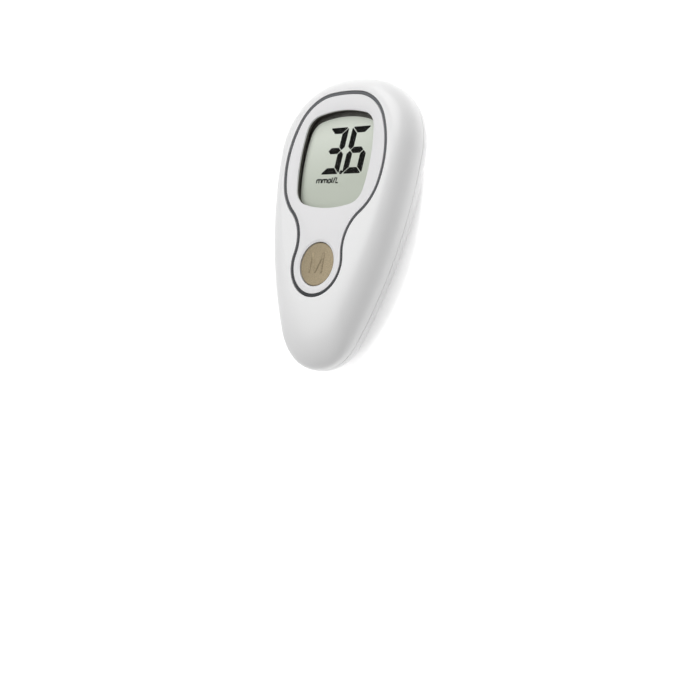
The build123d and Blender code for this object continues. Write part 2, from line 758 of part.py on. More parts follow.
def battery_contact_positive():
    """Contact that reaches down beside the cell and touches its rim."""
    face = cell_radius + contact_strip / 2 + fit_gap
    top = board_bottom - contact_strip / 2
    root = face + battery_contact_width
    points = [(root, cell_y, top), (face, cell_y, top), (face, cell_y, (cell_bottom + cell_top) / 2)]
    return strip(points, battery_contact_width, contact_bend, (0, 1, 0))


def coin_cell():
    """Lithium coin cell: a can with a smaller cap towards the board."""
    can = post((0, cell_y), cell_radius, cell_bottom, cell_top - cell_cap_height)
    can = fillet(can.edges().sort_by(Axis.Z)[0], cell_round)
    return can + post((0, cell_y), cell_radius - cell_cap_inset, cell_bottom + cell_height / 2, cell_top)


def port_mouth():
    """Dark mouth of the strip port, flush with the case, with a flared slot."""
    half = strip_channel_width / 2 + port_margin_x
    mouth = block(-half, half, port_inner_y + fit_gap, case_length,
                  strip_channel_floor - port_margin_z, channel_top + port_margin_z)
    mouth &= slab(egg(case_outline), 0, case_height)
    slot = strip_channel_width / 2
    mouth -= block(-slot, slot, 0, case_length, strip_channel_floor, channel_top)
    middle_z = (strip_channel_floor + channel_top) / 2
    wide = RectangleRounded(strip_channel_width + 2 * port_flare, strip_channel_height + 2 * port_flare,
                            port_edge_radius + port_flare)
    narrow = RectangleRounded(strip_channel_width, strip_channel_height, port_edge_radius)
    flare = loft([Plane((0, port_outer_y - depth, middle_z), x_dir=(1, 0, 0), z_dir=(0, 1, 0)) * face
                  for depth, face in ((0, wide), (port_flare_depth, narrow))])
    return mouth - flare


def strip_connector():
    """Trough under the board that guides the strip, open at both ends."""
    inner = strip_channel_width / 2
    outer = inner + connector_wall
    trough = block(-outer, outer, connector_low_y, connector_high_y,
                   strip_channel_floor - connector_floor, board_bottom)
    return trough - block(-inner, inner, 0, case_length, strip_channel_floor, board_bottom)


def strip_contacts():
    """Row of spring fingers that meet the strip's pads."""
    top = board_bottom - contact_strip / 2
    low = strip_channel_floor + finger_rest
    root, knee, foot, end = (connector_high_y - finger_from_end * share for share in (1, 0.77, 0.4, 0.18))
    fingers = []
    for finger in range(contact_count):
        x = (finger - (contact_count - 1) / 2) * contact_pitch
        points = [(x, root, top), (x, knee, top), (x, foot, low), (x, end, low + contact_strip)]
        fingers.append(strip(points, contact_width, contact_bend, (1, 0, 0)))
    return Compound([f.solids()[0] for f in fingers])


def screw(place, seat, top, shank_r, head_r, head_height):
    """Pan-head screw driven upwards, its head below seat, with a cross recess."""
    head = post(place, head_r, seat - head_height, seat)
    head = fillet(head.edges().sort_by(Axis.Z)[0], head_height / 3)
    length = head_r * screw_slot_share
    depth = 2 * screw_slot_depth
    cross = Box(length, screw_slot_width, depth) + Box(screw_slot_width, length, depth)
    return head + post(place, shank_r, seat, top) - Pos(place[0], place[1], seat - head_height) * cross


def case_screws():
    """Three screws that hold the covers together."""
    sizes = (case_head_seat, case_screw_top, case_screw_radius, case_head_radius, case_head_height)
    return Compound([screw(place, *sizes).solids()[0] for place in case_screw_places])


def board_screws():
    """Four small screws that hold the board to the front cover."""
    sizes = (board_bottom, ceiling - bite, board_screw_radius, board_head_radius, board_head_height)
    return Compound([screw(place, *sizes).solids()[0] for place in board_screw_places])


def lcd_plate(ledge, low, high):
    """Glass plate or reflector of the display. ledge leaves the front glass free at the display's foot."""
    return block(-glass_half_width, glass_half_width, glass_low_y + ledge, glass_high_y, low, high)


nodes = {
    "front_cover": front_cover,
    "rear_cover": rear_cover,
    "trim_ring": trim_ring,
    "faceplate": faceplate,
    "display_bezel": display_bezel,
    "display_lens": display_lens,
    "lcd_front_glass": lambda: lcd_plate(0, front_glass_bottom, glass_top),
    "lcd_rear_glass": lambda: lcd_plate(contact_ledge, rear_glass_bottom, front_glass_bottom),
    "lcd_reflector": lambda: lcd_plate(contact_ledge, reflector_bottom, rear_glass_bottom),
    "lcd_segments": lcd_segments,
    "lcd_frame": lcd_frame,
    "zebra_strip": lambda: zebra_block(0),
    "main_board": main_board,
    "microcontroller": lambda: chip(*microcontroller),
    "measurement_amplifier": lambda: chip(*measurement_amplifier),
    "memory_chip": lambda: chip(*memory_chip),
    "clock_crystal": lambda: chip(*clock_crystal),
    "chip_passives": chip_passives,
    "buzzer": lambda: post((0, buzzer_y), buzzer_radius, board_bottom - buzzer_height, board_bottom),
    "dome_switch": dome_switch,
    "memory_button": memory_button,
    "strip_port_mouth": port_mouth,
    "strip_connector": strip_connector,
    "strip_contacts": strip_contacts,
    "ejector_slider": ejector_slider,
    "ejector_spring": ejector_spring,
    "battery_contact_negative": battery_contact_negative,
    "battery_contact_positive": battery_contact_positive,
    "coin_cell": coin_cell,
    "battery_door": battery_door,
    "case_screws": case_screws,
    "board_screws": board_screws,
}

os.makedirs("parts", exist_ok=True)
for name, make in nodes.items():
    export_step(make(), f"parts/{name}.step")
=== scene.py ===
import math

import bmesh
import bpy
from mathutils import Matrix, Vector


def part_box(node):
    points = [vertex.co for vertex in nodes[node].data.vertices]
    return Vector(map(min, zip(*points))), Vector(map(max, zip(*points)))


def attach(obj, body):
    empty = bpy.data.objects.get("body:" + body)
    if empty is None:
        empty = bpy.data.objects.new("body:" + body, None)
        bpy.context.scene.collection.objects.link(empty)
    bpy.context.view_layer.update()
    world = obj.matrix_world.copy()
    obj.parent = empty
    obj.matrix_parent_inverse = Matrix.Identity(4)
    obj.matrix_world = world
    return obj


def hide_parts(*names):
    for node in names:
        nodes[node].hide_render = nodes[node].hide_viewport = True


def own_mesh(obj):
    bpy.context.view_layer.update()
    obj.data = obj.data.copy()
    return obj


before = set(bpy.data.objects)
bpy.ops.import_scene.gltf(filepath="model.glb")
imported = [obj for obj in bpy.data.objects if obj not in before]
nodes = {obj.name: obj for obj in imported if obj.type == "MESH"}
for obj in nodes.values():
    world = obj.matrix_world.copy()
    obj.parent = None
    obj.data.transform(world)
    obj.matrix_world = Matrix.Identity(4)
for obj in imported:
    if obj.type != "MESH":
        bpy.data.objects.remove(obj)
scene = bpy.context.scene
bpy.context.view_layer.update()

# Blood glucose meter lying on its back. Lengths are in millimetres until a mesh is made.
MM = 0.001


def box_mm(node):
    """Lowest and highest corner of a solid, in millimetres."""
    low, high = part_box(node)
    return low / MM, high / MM


# ---- nodes and colours

def linear(code):
    """Linear colour of an sRGB hex code."""
    parts = [int(code[i:i + 2], 16) / 255 for i in (1, 3, 5)]
    return (*[c / 12.92 if c <= 0.04045 else ((c + 0.055) / 1.055) ** 2.4 for c in parts], 1.0)


def connect(tree, target, value):
    """Sets a socket to a value, or links it to a socket or to the first output of a node."""
    if isinstance(value, bpy.types.Node):
        value = value.outputs[0]
    if isinstance(value, bpy.types.NodeSocket):
        tree.links.new(value, target)
    else:
        target.default_value = value


def add(tree, kind, inputs=None, **settings):
    """Adds a node. settings are its properties; inputs are what its sockets are set or linked to."""
    node = tree.nodes.new(kind)
    for name, value in settings.items():
        setattr(node, name, value)
    for name, value in (inputs or {}).items():
        connect(tree, node.inputs[name], value)
    return node


def empty_tree(holder):
    """Node tree of a new material or world, with nothing in it."""
    holder.use_nodes = True
    holder.node_tree.nodes.clear()
    return holder.node_tree


def new_finish(name, **constants):
    """Material with one Principled shader, and the Object coordinates in millimetres for its patterns."""
    material = bpy.data.materials.new(name)
    tree = empty_tree(material)
    shader = add(tree, "ShaderNodeBsdfPrincipled", {k.replace("_", " "): v for k, v in constants.items()})
    add(tree, "ShaderNodeOutputMaterial", {"Surface": shader})
    place = add(tree, "ShaderNodeTexCoord").outputs["Object"]
    scaled = add(tree, "ShaderNodeVectorMath", {0: place, "Scale": 1 / MM}, operation="SCALE")
    return material, tree, shader, scaled


def calc(tree, operation, *values):
    """Result of a math node on values or sockets."""
    return add(tree, "ShaderNodeMath", dict(enumerate(values)), operation=operation)


def span(tree, value, start, end, low=0.0, high=1.0):
    """Maps a value from start..end to low..high and holds it at both ends."""
    return add(tree, "ShaderNodeMapRange", {0: value, 1: start, 2: end, 3: low, 4: high})


def project(tree, place, direction):
    """How far a place lies along a direction."""
    dot = add(tree, "ShaderNodeVectorMath", {0: place, 1: direction}, operation="DOT_PRODUCT")
    return dot.outputs["Value"]


def mottle(tree, place, size, detail=3.0, rough=0.55):
    """Noise whose grains are about size millimetres across, from 0 to 1."""
    return add(tree, "ShaderNodeTexNoise", {"Vector": place, "Scale": 1 / size, "Detail": detail,
                                            "Roughness": rough}).outputs["Fac"]


def ramp(tree, value, low, high):
    """Mixes two values by a pattern from 0 to 1."""
    return span(tree, value, 0, 1, low, high)


def tint(tree, value, low, high):
    """Mixes two hex colours by a pattern from 0 to 1."""
    mix = add(tree, "ShaderNodeMix", {0: value, 6: linear(low), 7: linear(high)}, data_type="RGBA")
    return mix.outputs[2]


def relief(tree, height, depth):
    """Bump from a height pattern that stands depth millimetres high."""
    return add(tree, "ShaderNodeBump", {"Height": height, "Distance": depth * MM})


def wire(tree, shader, **links):
    """Links patterns to the shader's sockets."""
    for name, value in links.items():
        connect(tree, shader.inputs[name.replace("_", " ")], value)


def grainy(name, low, high, size, smooth, dull, bump=0.0, detail=3.0, **constants):
    """Material whose colour, roughness and relief vary over grains about size millimetres across."""
    m, tree, shader, place = new_finish(name, **constants)
    grain = mottle(tree, place, size, detail)
    wire(tree, shader, Base_Color=tint(tree, grain, low, high), Roughness=ramp(tree, grain, smooth, dull))
    if bump:
        wire(tree, shader, Normal=relief(tree, grain, bump))
    return m


def metal(name, low, high, size, smooth, dull):
    """Metal whose plating is a little uneven in colour, roughness and height."""
    return grainy(name, low, high, size, smooth, dull, 0.004, Metallic=1.0)


# ---- finishes, one for each slot

def faceplate_pale():
    """Polycarbonate sheet with a pearl lacquer: satin, near white, with a fine pearl grain."""
    m, tree, shader, place = new_finish("pearl_lacquered_polycarbonate", IOR=1.55, Coat_Weight=0.15,
                                        Coat_Roughness=0.25)
    grain = mottle(tree, place, 0.22, 2.0, 0.7)
    wire(tree, shader, Base_Color=tint(tree, grain, "#EEEDEE", "#F4F4F5"),
         Roughness=ramp(tree, grain, 0.42, 0.52), Normal=relief(tree, grain, 0.004))
    return m


def ring_dark():
    """ABS sprayed with dark-grey satin paint, with painted light and shade: darker towards the button,
    lighter grey towards the display end.
    """
    m, tree, shader, place = new_finish("dark_satin_paint", IOR=1.5, Specular_IOR_Level=0.2)
    low, high = box_mm("trim_ring")
    peel = mottle(tree, place, 0.8)
    # Painted light and shade along the ring: dark at the button's end, lighter at the display end, mixed
    # with the peel.
    share = span(tree, project(tree, place, (0, 1, 0)), low.y, high.y)
    coat = calc(tree, "MULTIPLY_ADD", peel, 0.1, share)
    wire(tree, shader, Base_Color=tint(tree, coat, "#2A2C2F", "#686A6D"),
         Roughness=ramp(tree, peel, 0.3, 0.4))
    return m


def lens_clear():
    """Cast acrylic with an anti-glare hard coat: clear, with a weak sharp reflection."""
    material = bpy.data.materials.new("hard_coated_acrylic")
    tree = empty_tree(material)
    clear = add(tree, "ShaderNodeBsdfTransparent", {"Color": linear("#FBFCFB")})
    gloss = add(tree, "ShaderNodeBsdfGlossy", {"Color": (1, 1, 1, 1), "Roughness": 0.04})
    edge = add(tree, "ShaderNodeFresnel", {"IOR": 1.49})
    inside = add(tree, "ShaderNodeNewGeometry").outputs["Backfacing"]
    share = calc(tree, "MULTIPLY", edge, ramp(tree, inside, 0.04, 0.0))
    mix = add(tree, "ShaderNodeMixShader", {0: share, 1: clear, 2: gloss})
    add(tree, "ShaderNodeOutputMaterial", {"Surface": mix})
    return material


def lcd_glass():
    """Soda-lime glass under a polarising film, silvered behind: pale grey-green, with painted light and
    shade, palest at the top and darker towards the lower right.
    """
    m, tree, shader, place = new_finish("polarised_glass", Specular_IOR_Level=0.1, Roughness=0.5)
    # Painted light and shade: paler at the top, darker towards the lower right.
    share = span(tree, project(tree, place, (0.2, -0.98, 0)), -26, -9)
    grain = calc(tree, "MULTIPLY_ADD", mottle(tree, place, 0.3, 2.0), 0.16, share)
    wire(tree, shader, Base_Color=tint(tree, grain, "#F8FAF2", "#DBDED4"))
    return m


def reflector_grey():
    """Silvered matt film behind the glass, seen through the polariser: pale grey-green."""
    m, tree, shader, place = new_finish("matt_reflector_film", IOR=1.45, Roughness=0.6)
    wire(tree, shader, Base_Color=tint(tree, mottle(tree, place, 0.35, 2.0), "#CDD4C4", "#D6DDCE"))
    return m


def segment_black():
    """Liquid crystal switched dark: near black with a green cast, quite even."""
    m, tree, shader, place = new_finish("dark_liquid_crystal", Specular_IOR_Level=0.05, Roughness=0.55)
    wire(tree, shader, Base_Color=tint(tree, mottle(tree, place, 0.3), "#060605", "#0A0A08"))
    return m


def elastomer():
    """Silicone rubber with carbon layers: dull black and cream stripes across the strip."""
    m, tree, shader, place = new_finish("layered_silicone", IOR=1.41, Roughness=0.7)
    layer = 0.36
    stripes = calc(tree, "PINGPONG", project(tree, place, (1, 0, 0)), layer)
    dark = calc(tree, "GREATER_THAN", stripes, layer / 2)
    wire(tree, shader, Base_Color=tint(tree, dark, "#D9CFBE", "#1B1A19"))
    return m


def board_green():
    """Glass-epoxy board under green solder mask: satin, with the weave just showing."""
    m, tree, shader, place = new_finish("solder_mask_on_glass_epoxy", IOR=1.55, Coat_Weight=0.3,
                                        Coat_Roughness=0.2)
    wave = add(tree, "ShaderNodeTexWave", {"Vector": place, "Scale": 1.2, "Distortion": 0.4})
    weave = wave.outputs["Fac"]
    wire(tree, shader, Base_Color=tint(tree, weave, "#12502F", "#1A6339"),
         Roughness=ramp(tree, mottle(tree, place, 0.5), 0.35, 0.5), Normal=relief(tree, weave, 0.01))
    return m


def button_champagne():
    """ABS sprayed with champagne metallic lacquer: satin, glittering in fine grains."""
    m, tree, shader, place = new_finish("champagne_metallic_lacquer", Metallic=0.55)
    flake = mottle(tree, place, 0.3, 3.0, 0.8)
    wire(tree, shader, Base_Color=tint(tree, span(tree, flake, 0.3, 0.7), "#766A53", "#9A8D73"),
         Roughness=ramp(tree, flake, 0.36, 0.5), Normal=relief(tree, flake, 0.02))
    return m


def cell_steel():
    """Stainless can of the coin cell, turned finish: fine rings round its middle."""
    m, tree, shader, place = new_finish("turned_stainless_steel", Metallic=1.0)
    low, high = box_mm("coin_cell")
    centred = add(tree, "ShaderNodeMapping", {"Vector": place, "Location": -(low + high) / 2})
    rings = add(tree, "ShaderNodeTexWave", {"Vector": centred, "Scale": 0.9, "Distortion": 0.5,
                                            "Detail": 3.0},
                wave_type="RINGS", rings_direction="Z").outputs["Fac"]
    wire(tree, shader, Base_Color=tint(tree, rings, "#B2B2B0", "#C6C6C4"),
         Roughness=ramp(tree, rings, 0.22, 0.34), Normal=relief(tree, rings, 0.004))
    return m


finish = {
    # Gloss white ABS, injection moulded in a polished tool: smooth, with soft broad highlights.
    "shell_white": grainy("gloss_white_abs", "#F8F8F8", "#FAFAFA", 14, 0.27, 0.3, IOR=1.53),
    "faceplate_pale": faceplate_pale(),
    "ring_dark": ring_dark(),
    # Charcoal polycarbonate from a spark-eroded tool: matt, warm black.
    "bezel_charcoal": grainy("matt_charcoal_polycarbonate", "#33302C", "#3C3934", 0.18, 0.5, 0.65,
                             0.01, 2.0, IOR=1.55),
    "lens_clear": lens_clear(),
    "lcd_glass": lcd_glass(),
    "reflector_grey": reflector_grey(),
    "segment_black": segment_black(),
    # Black ABS moulding, left matt from the tool.
    "frame_black": grainy("matt_black_abs", "#1E1F20", "#27282A", 0.3, 0.45, 0.6, 0.008, IOR=1.53),
    "elastomer": elastomer(),
    "board_green": board_green(),
    # Moulded epoxy of a chip: matt dark grey with a fine mineral grain.
    "chip_black": grainy("moulded_epoxy", "#202124", "#2B2C2F", 0.12, 0.55, 0.75, 0.008, 2.0, IOR=1.55),
    # Nickel-plated steel can, pressed: bright with soft blotches.
    "crystal_can": metal("pressed_nickel_can", "#B9B7B0", "#CFCDC6", 0.6, 0.22, 0.32),
    # Fired barium titanate body: matt biscuit brown.
    "passive_ceramic": grainy("fired_ceramic", "#8C7455", "#A58B68", 0.1, 0.5, 0.65, IOR=1.6),
    # Black glass-filled polymer housing of the buzzer: satin with fine glass specks.
    "buzzer_black": grainy("glass_filled_polymer", "#17181A", "#26272A", 0.15, 0.35, 0.55,
                           detail=4.0, IOR=1.6),
    # Drawn and tempered stainless steel: bright, with a thin straw tint.
    "spring_steel": metal("tempered_stainless_steel", "#B5B0A6", "#C9C5BC", 0.4, 0.18, 0.3),
    "button_champagne": button_champagne(),
    # Dark-grey PC/ABS of the strip port's mouth: matt from a textured tool.
    "port_dark": grainy("textured_dark_pc_abs", "#2E3033", "#3A3C40", 0.25, 0.42, 0.56, 0.01, IOR=1.56),
    # Natural liquid-crystal polymer of the strip connector: cream, slightly streaked by flow.
    "connector_white": grainy("natural_lcp", "#DDD6C6", "#ECE6D8", 1.2, 0.4, 0.55, detail=4.0, IOR=1.6),
    # Phosphor bronze with a gold flash: warm and bright.
    "contact_gold": metal("gold_flashed_bronze", "#C99A45", "#DDB362", 0.3, 0.18, 0.28),
    # Grey acetal, moulded: waxy satin.
    "slider_grey": grainy("grey_acetal", "#8F9296", "#989B9F", 0.4, 0.38, 0.48, 0.005, IOR=1.48,
                          Subsurface_Weight=0.05, Subsurface_Scale=0.5 * MM),
    # Nickel-plated spring strip: grey-white and smooth.
    "contact_nickel": metal("nickel_plated_strip", "#BDB9AF", "#CFCBC2", 0.5, 0.2, 0.3),
    "cell_steel": cell_steel(),
    # Zinc-plated steel: cool grey with a slight blue passivation.
    "screw_zinc": metal("passivated_zinc", "#9FA6AD", "#B9C0C6", 0.3, 0.28, 0.42),
}

for node in nodes.values():
    for holder in node.material_slots:
        holder.material = finish[holder.material.name.split(".")[0]]

# ---- outlines, as on the case's drawing

bezel_wall = 0.9
fit_gap = 0.05
ring_width = 1.1
ring_round = 0.33                    # of the bead's corners
arc_step = math.radians(2.5)         # between two points of an arc

bezel_low, bezel_high = box_mm("display_bezel")
window_half = bezel_high.x - bezel_wall
window_top, window_bottom = bezel_high.y - bezel_wall, bezel_low.y + bezel_wall
window_centre_y = (window_top + window_bottom) / 2
window_radii = (35.8, 48.8, 5.6)     # ends, sides, corners

ring_low, ring_high = box_mm("trim_ring")
lobe_half = ring_high.x + fit_gap
lobe_top = ring_high.y + fit_gap
lobe_radii = (49.75, 30.05, 14.65)   # end, sides, corners
foot_radii = (27.75, 15.75)          # lower end of the lobe, its corners
foot_y = window_bottom - 5.75
widest_y = window_centre_y - 0.9
land_radius = 10.2
land_y = ring_low.y - fit_gap + land_radius
waist_radius = 12.2


def touch(first, second):
    """Point where two tangent circles, each (centre, radius), meet."""
    big, small = (first, second) if first[1] >= second[1] else (second, first)
    return big[0] + (small[0] - big[0]).normalized() * big[1]


def meet(first, first_reach, second, second_reach):
    """Right-hand point that lies at the stated distances from two points."""
    line = second - first
    along = (first_reach**2 - second_reach**2 + line.length_squared) / (2 * line.length)
    off = math.sqrt(first_reach**2 - along**2)
    ahead = line.normalized()
    aside = Vector((ahead.y, -ahead.x))
    return max((first + ahead * along + aside * side for side in (-off, off)), key=lambda point: point.x)


def arc(centre, start, end):
    """Points of the shorter arc from start up to, but without, end."""
    a, b = start - centre, end - centre
    begin = math.atan2(a.y, a.x)
    turn = math.remainder(math.atan2(b.y, b.x) - begin, 2 * math.pi)
    steps = max(2, math.ceil(abs(turn) / arc_step))
    angles = [begin + turn * i / steps for i in range(steps)]
    return [centre + a.length * Vector((math.cos(angle), math.sin(angle))) for angle in angles]


def mirrored_loop(circles):
    """Closed loop of tangent arcs. The circles run down the right side, from the axis to the axis."""
    (head, head_r), (foot, foot_r) = circles[0], circles[-1]
    ends = [head + Vector((0, head_r)), *[touch(a, b) for a, b in zip(circles, circles[1:])],
            foot - Vector((0, foot_r))]
    right = [p for (centre, _), a, b in zip(circles, ends, ends[1:]) for p in arc(centre, a, b)]
    right.append(ends[-1])
    return right + [Vector((-p.x, p.y)) for p in reversed(right[1:-1])]


def rounded_corner(end, side, corner_r):
    """Circle of radius corner_r inside both the end circle and the side circle."""
    return meet(end[0], end[1] - corner_r, side[0], side[1] - corner_r), corner_r


def window(grow=0.0):
    """Display window, a rounded square whose sides bulge, grown all round."""
    end_r, side_r, corner_r = (r + grow for r in window_radii)
    head = (Vector((0, window_top + grow - end_r)), end_r)
    foot = (Vector((0, window_bottom - grow + end_r)), end_r)
    side = (Vector((window_half + grow - side_r, window_centre_y)), side_r)
    return mirrored_loop([head, rounded_corner(head, side, corner_r), side,
                          rounded_corner(foot, side, corner_r), foot])


def keyhole(grow=0.0):
    """Outline of the trim ring's channel, grown all round: a lobe, a waist and a round land."""
    end_r, side_r, corner_r = (r + grow for r in lobe_radii)
    foot_r, hip_r = (r + grow for r in foot_radii)
    head = (Vector((0, lobe_top + grow - end_r)), end_r)
    foot = (Vector((0, foot_y - grow + foot_r)), foot_r)
    side = (Vector((lobe_half + grow - side_r, widest_y)), side_r)
    hip = rounded_corner(foot, side, hip_r)
    land = (Vector((0, land_y)), land_radius + grow)
    waist_r = waist_radius - grow
    waist = (meet(land[0], land[1] + waist_r, hip[0], hip[1] + waist_r), waist_r)
    return mirrored_loop([head, rounded_corner(head, side, corner_r), side, hip, waist, land])


def circle(centre, radius, sides=144):
    """Closed loop round a point."""
    turns = [2 * math.pi * i / sides for i in range(sides)]
    return [centre + radius * Vector((math.sin(a), math.cos(a))) for a in turns]


def rectangle(centre, width, length, corner=0.0, steps=4):
    """Closed loop of a rectangle with rounded corners."""
    points = []
    for x, y, begin in ((1, 1, 0), (-1, 1, 90), (-1, -1, 180), (1, -1, 270)):
        middle = centre + Vector((x * (width / 2 - corner), y * (length / 2 - corner)))
        for i in range(steps + 1):
            a = math.radians(begin + 90 * i / steps)
            points.append(middle + corner * Vector((math.cos(a), math.sin(a))))
    return points


def softened(points, size, steps=3):
    """Open line of points with its corners rounded by up to size."""
    result = [Vector(points[0])]
    for before, here, after in zip(points, points[1:], points[2:]):
        before, here, after = Vector(before), Vector(here), Vector(after)
        start = here.lerp(before, min(size / (before - here).length, 0.5))
        end = here.lerp(after, min(size / (after - here).length, 0.5))
        for i in range(steps + 1):
            share = i / steps
            result.append(start.lerp(here, share).lerp(here.lerp(end, share), share))
    return [*result, Vector(points[-1])]


# ---- making meshes and pieces

def loop(bm, points, z):
    """Vertices of a flat closed loop at height z."""
    return [bm.verts.new((p.x * MM, p.y * MM, z * MM)) for p in points]


def skin(bm, loops, material=0):
    """Walls from each loop to the next. All have as many points."""
    for first, second in zip(loops, loops[1:]):
        for i in range(len(first)):
            face = bm.faces.new((first[i - 1], first[i], second[i], second[i - 1]))
            face.material_index = material


def turned(bm, profile, centre, sides=144):
    """Surface of revolution about the upright line through centre. A radius of 0 is a pole."""
    rings = [loop(bm, circle(centre, radius, sides) if radius else [centre], z) for radius, z in profile]
    for first, second in zip(rings, rings[1:]):
        for i in range(max(len(first), len(second))):
            corners = (first, i - 1), (first, i), (second, i), (second, i - 1)
            bm.faces.new(dict.fromkeys(ring[j % len(ring)] for ring, j in corners))
    return rings


def layered(bm, outlines, capped=True):
    """Solid between flat outlines, each (points, z) with as many points, closed at its ends if capped."""
    rings = [loop(bm, points, z) for points, z in outlines]
    skin(bm, rings)
    if capped:
        bm.faces.new(rings[0])
        bm.faces.new(rings[-1])
    return rings


def emboss(rings, strokes, centre, half_width, slope, height):
    """Raises strokes with sloped sides, drawn about centre, in the surface that the rings carry."""
    for vert in (vert for ring in rings for vert in ring):
        point = vert.co.xy / MM - centre
        near = []
        for start, end in strokes:
            share = min(max((point - start).dot(end - start) / (end - start).length_squared, 0), 1)
            near.append((point - start.lerp(end, share)).length)
        share = min(max((half_width + slope - min(near)) / slope, 0), 1)
        vert.co.z += height * share * share * (3 - 2 * share) * MM


def fill(bm, loops):
    """Flat face between an outer loop and the holes in it."""
    edges = [bm.edges.get((ring[i - 1], ring[i])) for ring in loops for i in range(len(ring))]
    bmesh.ops.triangle_fill(bm, use_beauty=True, edges=edges)


def to_mesh(bm, name, smooth_angle=35):
    """Mesh with its faces outwards, smooth except across sharp edges."""
    bmesh.ops.recalc_face_normals(bm, faces=bm.faces)
    mesh = bpy.data.meshes.new(name)
    bm.to_mesh(mesh)
    bm.free()
    mesh.shade_smooth()
    mesh.set_sharp_from_angle(angle=math.radians(smooth_angle))
    return mesh


def placed(name, data):
    """New object in the scene."""
    obj = bpy.data.objects.new(name, data)
    scene.collection.objects.link(obj)
    return obj


def add_piece(name, shape, slot, replaced=(), finishes=(), body="case", smooth_angle=35):
    """Makes a piece that rides a body from a mesh or a bmesh, in the finish of its slot."""
    mesh = to_mesh(shape, name, smooth_angle) if isinstance(shape, bmesh.types.BMesh) else shape
    obj = placed(name, mesh)
    mesh.materials.clear()
    for key in (slot, *finishes):
        mesh.materials.append(finish[key])
    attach(obj, body)
    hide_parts(*replaced)
    return obj


def new_tree(name, **sizes):
    """Geometry tree, and its input node, which gives the geometry and then each named size."""
    tree = bpy.data.node_groups.new(name, "GeometryNodeTree")
    tree.interface.new_socket("Geometry", in_out="INPUT", socket_type="NodeSocketGeometry")
    for key, kind in sizes.items():
        tree.interface.new_socket(key, in_out="INPUT", socket_type="NodeSocket" + kind)
    tree.interface.new_socket("Geometry", in_out="OUTPUT", socket_type="NodeSocketGeometry")
    return tree, add(tree, "NodeGroupInput")


def end_tree(tree, geometry, material):
    """Ends a geometry tree with real geometry in one material."""
    real = add(tree, "GeometryNodeRealizeInstances", {0: geometry})
    coat = add(tree, "GeometryNodeSetMaterial", {0: real, "Material": finish[material]})
    add(tree, "NodeGroupOutput", {0: coat})
    return tree


def grown(tree, start, **sizes):
    """Runs a geometry tree on a curve or mesh and returns the plain mesh that it makes."""
    obj = placed(tree.name, start)
    modifier = obj.modifiers.new(tree.name, "NODES")
    modifier.node_group = tree
    for socket in tree.interface.items_tree:
        if socket.in_out == "INPUT" and socket.name in sizes:
            value = sizes[socket.name]
            modifier[socket.identifier] = tuple(value) if isinstance(value, Vector) else value
    result = obj.evaluated_get(bpy.context.evaluated_depsgraph_get())
    mesh = bpy.data.meshes.new_from_object(result)
    bpy.data.objects.remove(obj)
    return mesh


def path_curve(name, lines, closed=False):
    """Curve with a spline through each line of points, each (x, y, z) in millimetres."""
    data = bpy.data.curves.new(name, "CURVE")
    data.dimensions = "3D"
    for line in lines:
        spline = data.splines.new("POLY")
        spline.points.add(len(line) - 1)
        for target, point in zip(spline.points, line):
            target.co = (*[c * MM for c in point], 1)
        spline.use_cyclic_u = closed
    return data


def brick(bm, low, high, rounding, corner=0.0):
    """Block between two corners with its edges rounded a little."""
    middle = ((low + high) / 2).xy
    size = high - low
    corner = max(corner, rounding)
    layers = ((rounding, low.z), (0, low.z + rounding), (0, high.z - rounding), (rounding, high.z))
    layered(bm, [(rectangle(middle, size.x - 2 * inset, size.y - 2 * inset, corner - inset), z)
                 for inset, z in layers])


# ---- trees that follow a path or repeat a part

def swept(tree, curve, section, material):
    """Ends a tree with a section run along curves, capped and smooth."""
    solid = add(tree, "GeometryNodeCurveToMesh", {0: curve, 1: section, "Fill Caps": True})
    smooth = add(tree, "GeometryNodeSetShadeSmooth", {0: solid})
    return end_tree(tree, smooth, material)


def bead_tree(material):
    """Tree that runs a rounded bead of stated width and height along flat-lying curves."""
    tree, given = new_tree("bead", Width="Float", Height="Float", Round="Float")
    upright = add(tree, "GeometryNodeSetCurveNormal", {"Curve": given}, mode="Z_UP")
    section = add(tree, "GeometryNodeCurvePrimitiveQuadrilateral",
                  {"Width": given.outputs["Width"], "Height": given.outputs["Height"]})
    rounded = add(tree, "GeometryNodeFilletCurve",
                  {"Curve": section, "Count": 6, "Limit Radius": True,
                   "Radius": given.outputs["Round"]}, mode="POLY")
    return swept(tree, upright, rounded, material)


def wire_tree(material):
    """Tree that runs a wire, round or with few sides, along a curve."""
    tree, given = new_tree("wire", Radius="Float", Sides="Int")
    section = add(tree, "GeometryNodeCurvePrimitiveCircle",
                  {"Resolution": given.outputs["Sides"], "Radius": given.outputs["Radius"]})
    return swept(tree, given, section, material)


def row_tree(material):
    """Tree that repeats a part in a row."""
    tree, given = new_tree("row", Count="Int", Start="Vector", Step="Vector")
    line = add(tree, "GeometryNodeMeshLine", {"Count": given.outputs["Count"],
                                              "Start Location": given.outputs["Start"],
                                              "Offset": given.outputs["Step"]})
    copies = add(tree, "GeometryNodeInstanceOnPoints", {0: line, "Instance": given})
    return end_tree(tree, copies, material)


def scatter_tree(material):
    """Tree that puts a copy of a part at each vertex of another object."""
    tree, given = new_tree("scatter", Places="Object")
    places = add(tree, "GeometryNodeObjectInfo", {"Object": given.outputs["Places"]})
    copies = add(tree, "GeometryNodeInstanceOnPoints",
                 {0: places.outputs["Geometry"], "Instance": given})
    return end_tree(tree, copies, material)


# ---- trim ring

def make_trim_ring():
    """Dark bead that lies in the keyhole-shaped channel."""
    height = ring_high.z - ring_low.z
    middle = [(p.x, p.y, ring_low.z + height / 2) for p in keyhole(-ring_width / 2)]
    mesh = grown(bead_tree("ring_dark"), path_curve("ring_path", [middle], closed=True),
                 Width=(ring_width - 2 * fit_gap) * MM, Height=height * MM, Round=ring_round * MM)
    add_piece("trim_ring_bead", mesh, "ring_dark", ["trim_ring"])


# ---- faceplate and button

